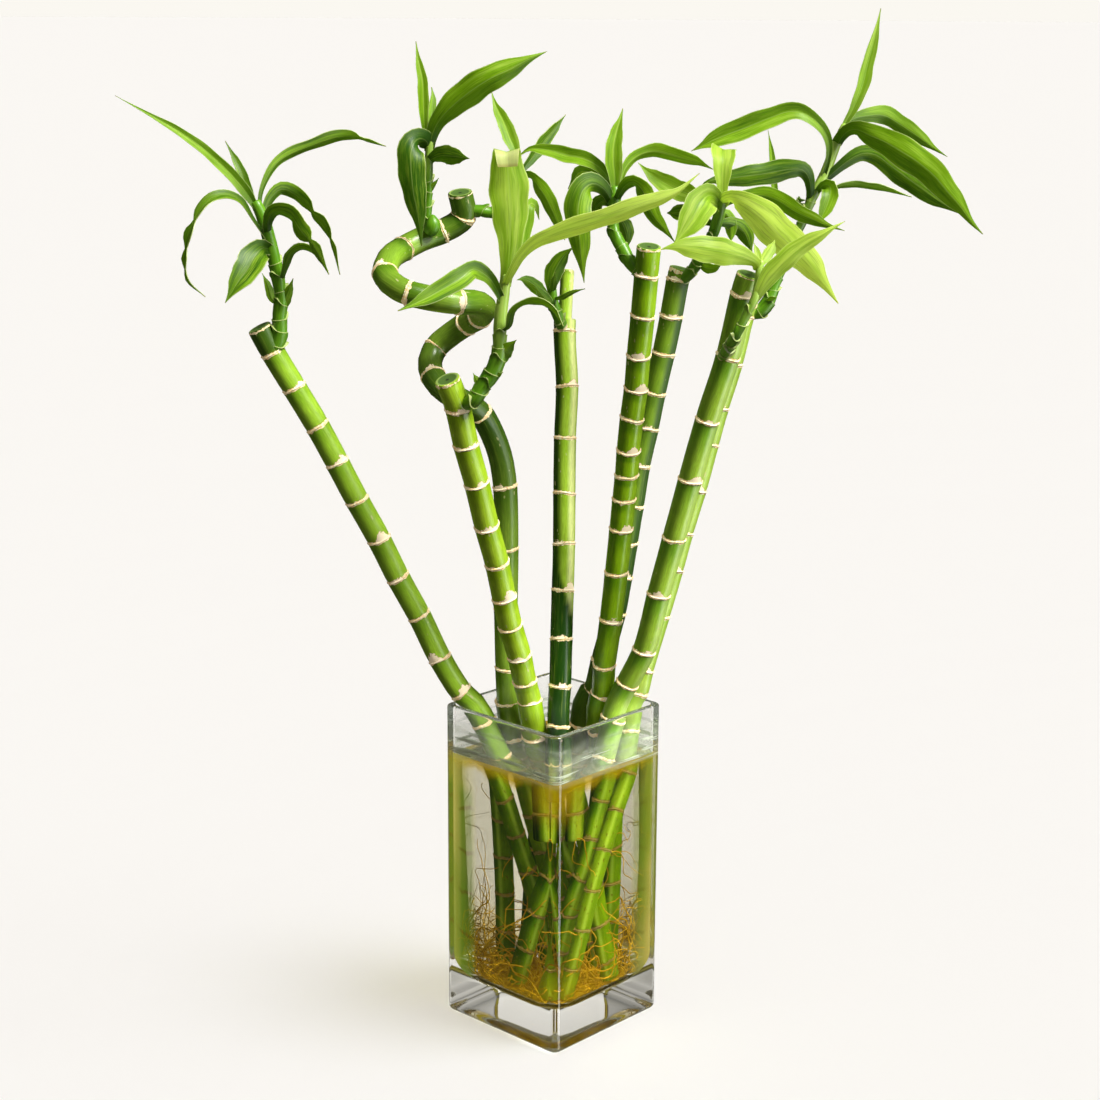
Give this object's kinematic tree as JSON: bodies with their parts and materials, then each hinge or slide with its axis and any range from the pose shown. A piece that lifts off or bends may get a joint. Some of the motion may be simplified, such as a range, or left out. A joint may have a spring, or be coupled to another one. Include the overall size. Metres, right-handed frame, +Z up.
{
  "type": "lucky bamboo",
  "caption": "Lucky bamboo in a square glass vase of water: cut ringed stalks, one trained into a curl, with leafy side shoots above and brown roots below.",
  "frame": {"origin": "centre of the vase's flat underside", "axes": "+Z up along the vase; -Y towards the viewer, with one vertical corner of the vase pointing along -Y; +X to the viewer's right"},
  "size_m": [0.3912, 0.1465, 0.4907],
  "materials": {
    "vase_glass": "clear polished glass",
    "water": "clear, faintly yellow",
    "root": "golden brown, fibrous",
    "stalk": "waxy green with pale tan leaf scars",
    "stalk_dark": "waxy dark green with pale tan leaf scars",
    "leaf": "satin leaf"
  },
  "bodies": {
    "root": {"vase": "vase_glass", "water": "water", "roots": "root", "stalk_a": "stalk", "stalk_b": "stalk", "stalk_c": "stalk", "stalk_d": "stalk_dark", "stalk_e": "stalk", "stalk_f": "stalk", "stalk_g": "stalk", "stalk_h": "stalk", "shoot_a": "leaf", "shoot_b": "leaf", "shoot_c_high": "leaf", "shoot_c_tip": "leaf", "shoot_d": "leaf", "shoot_e": "leaf", "shoot_f": "leaf", "shoot_g": "leaf", "shoot_h": "leaf"}
  },
  "joints": []
}
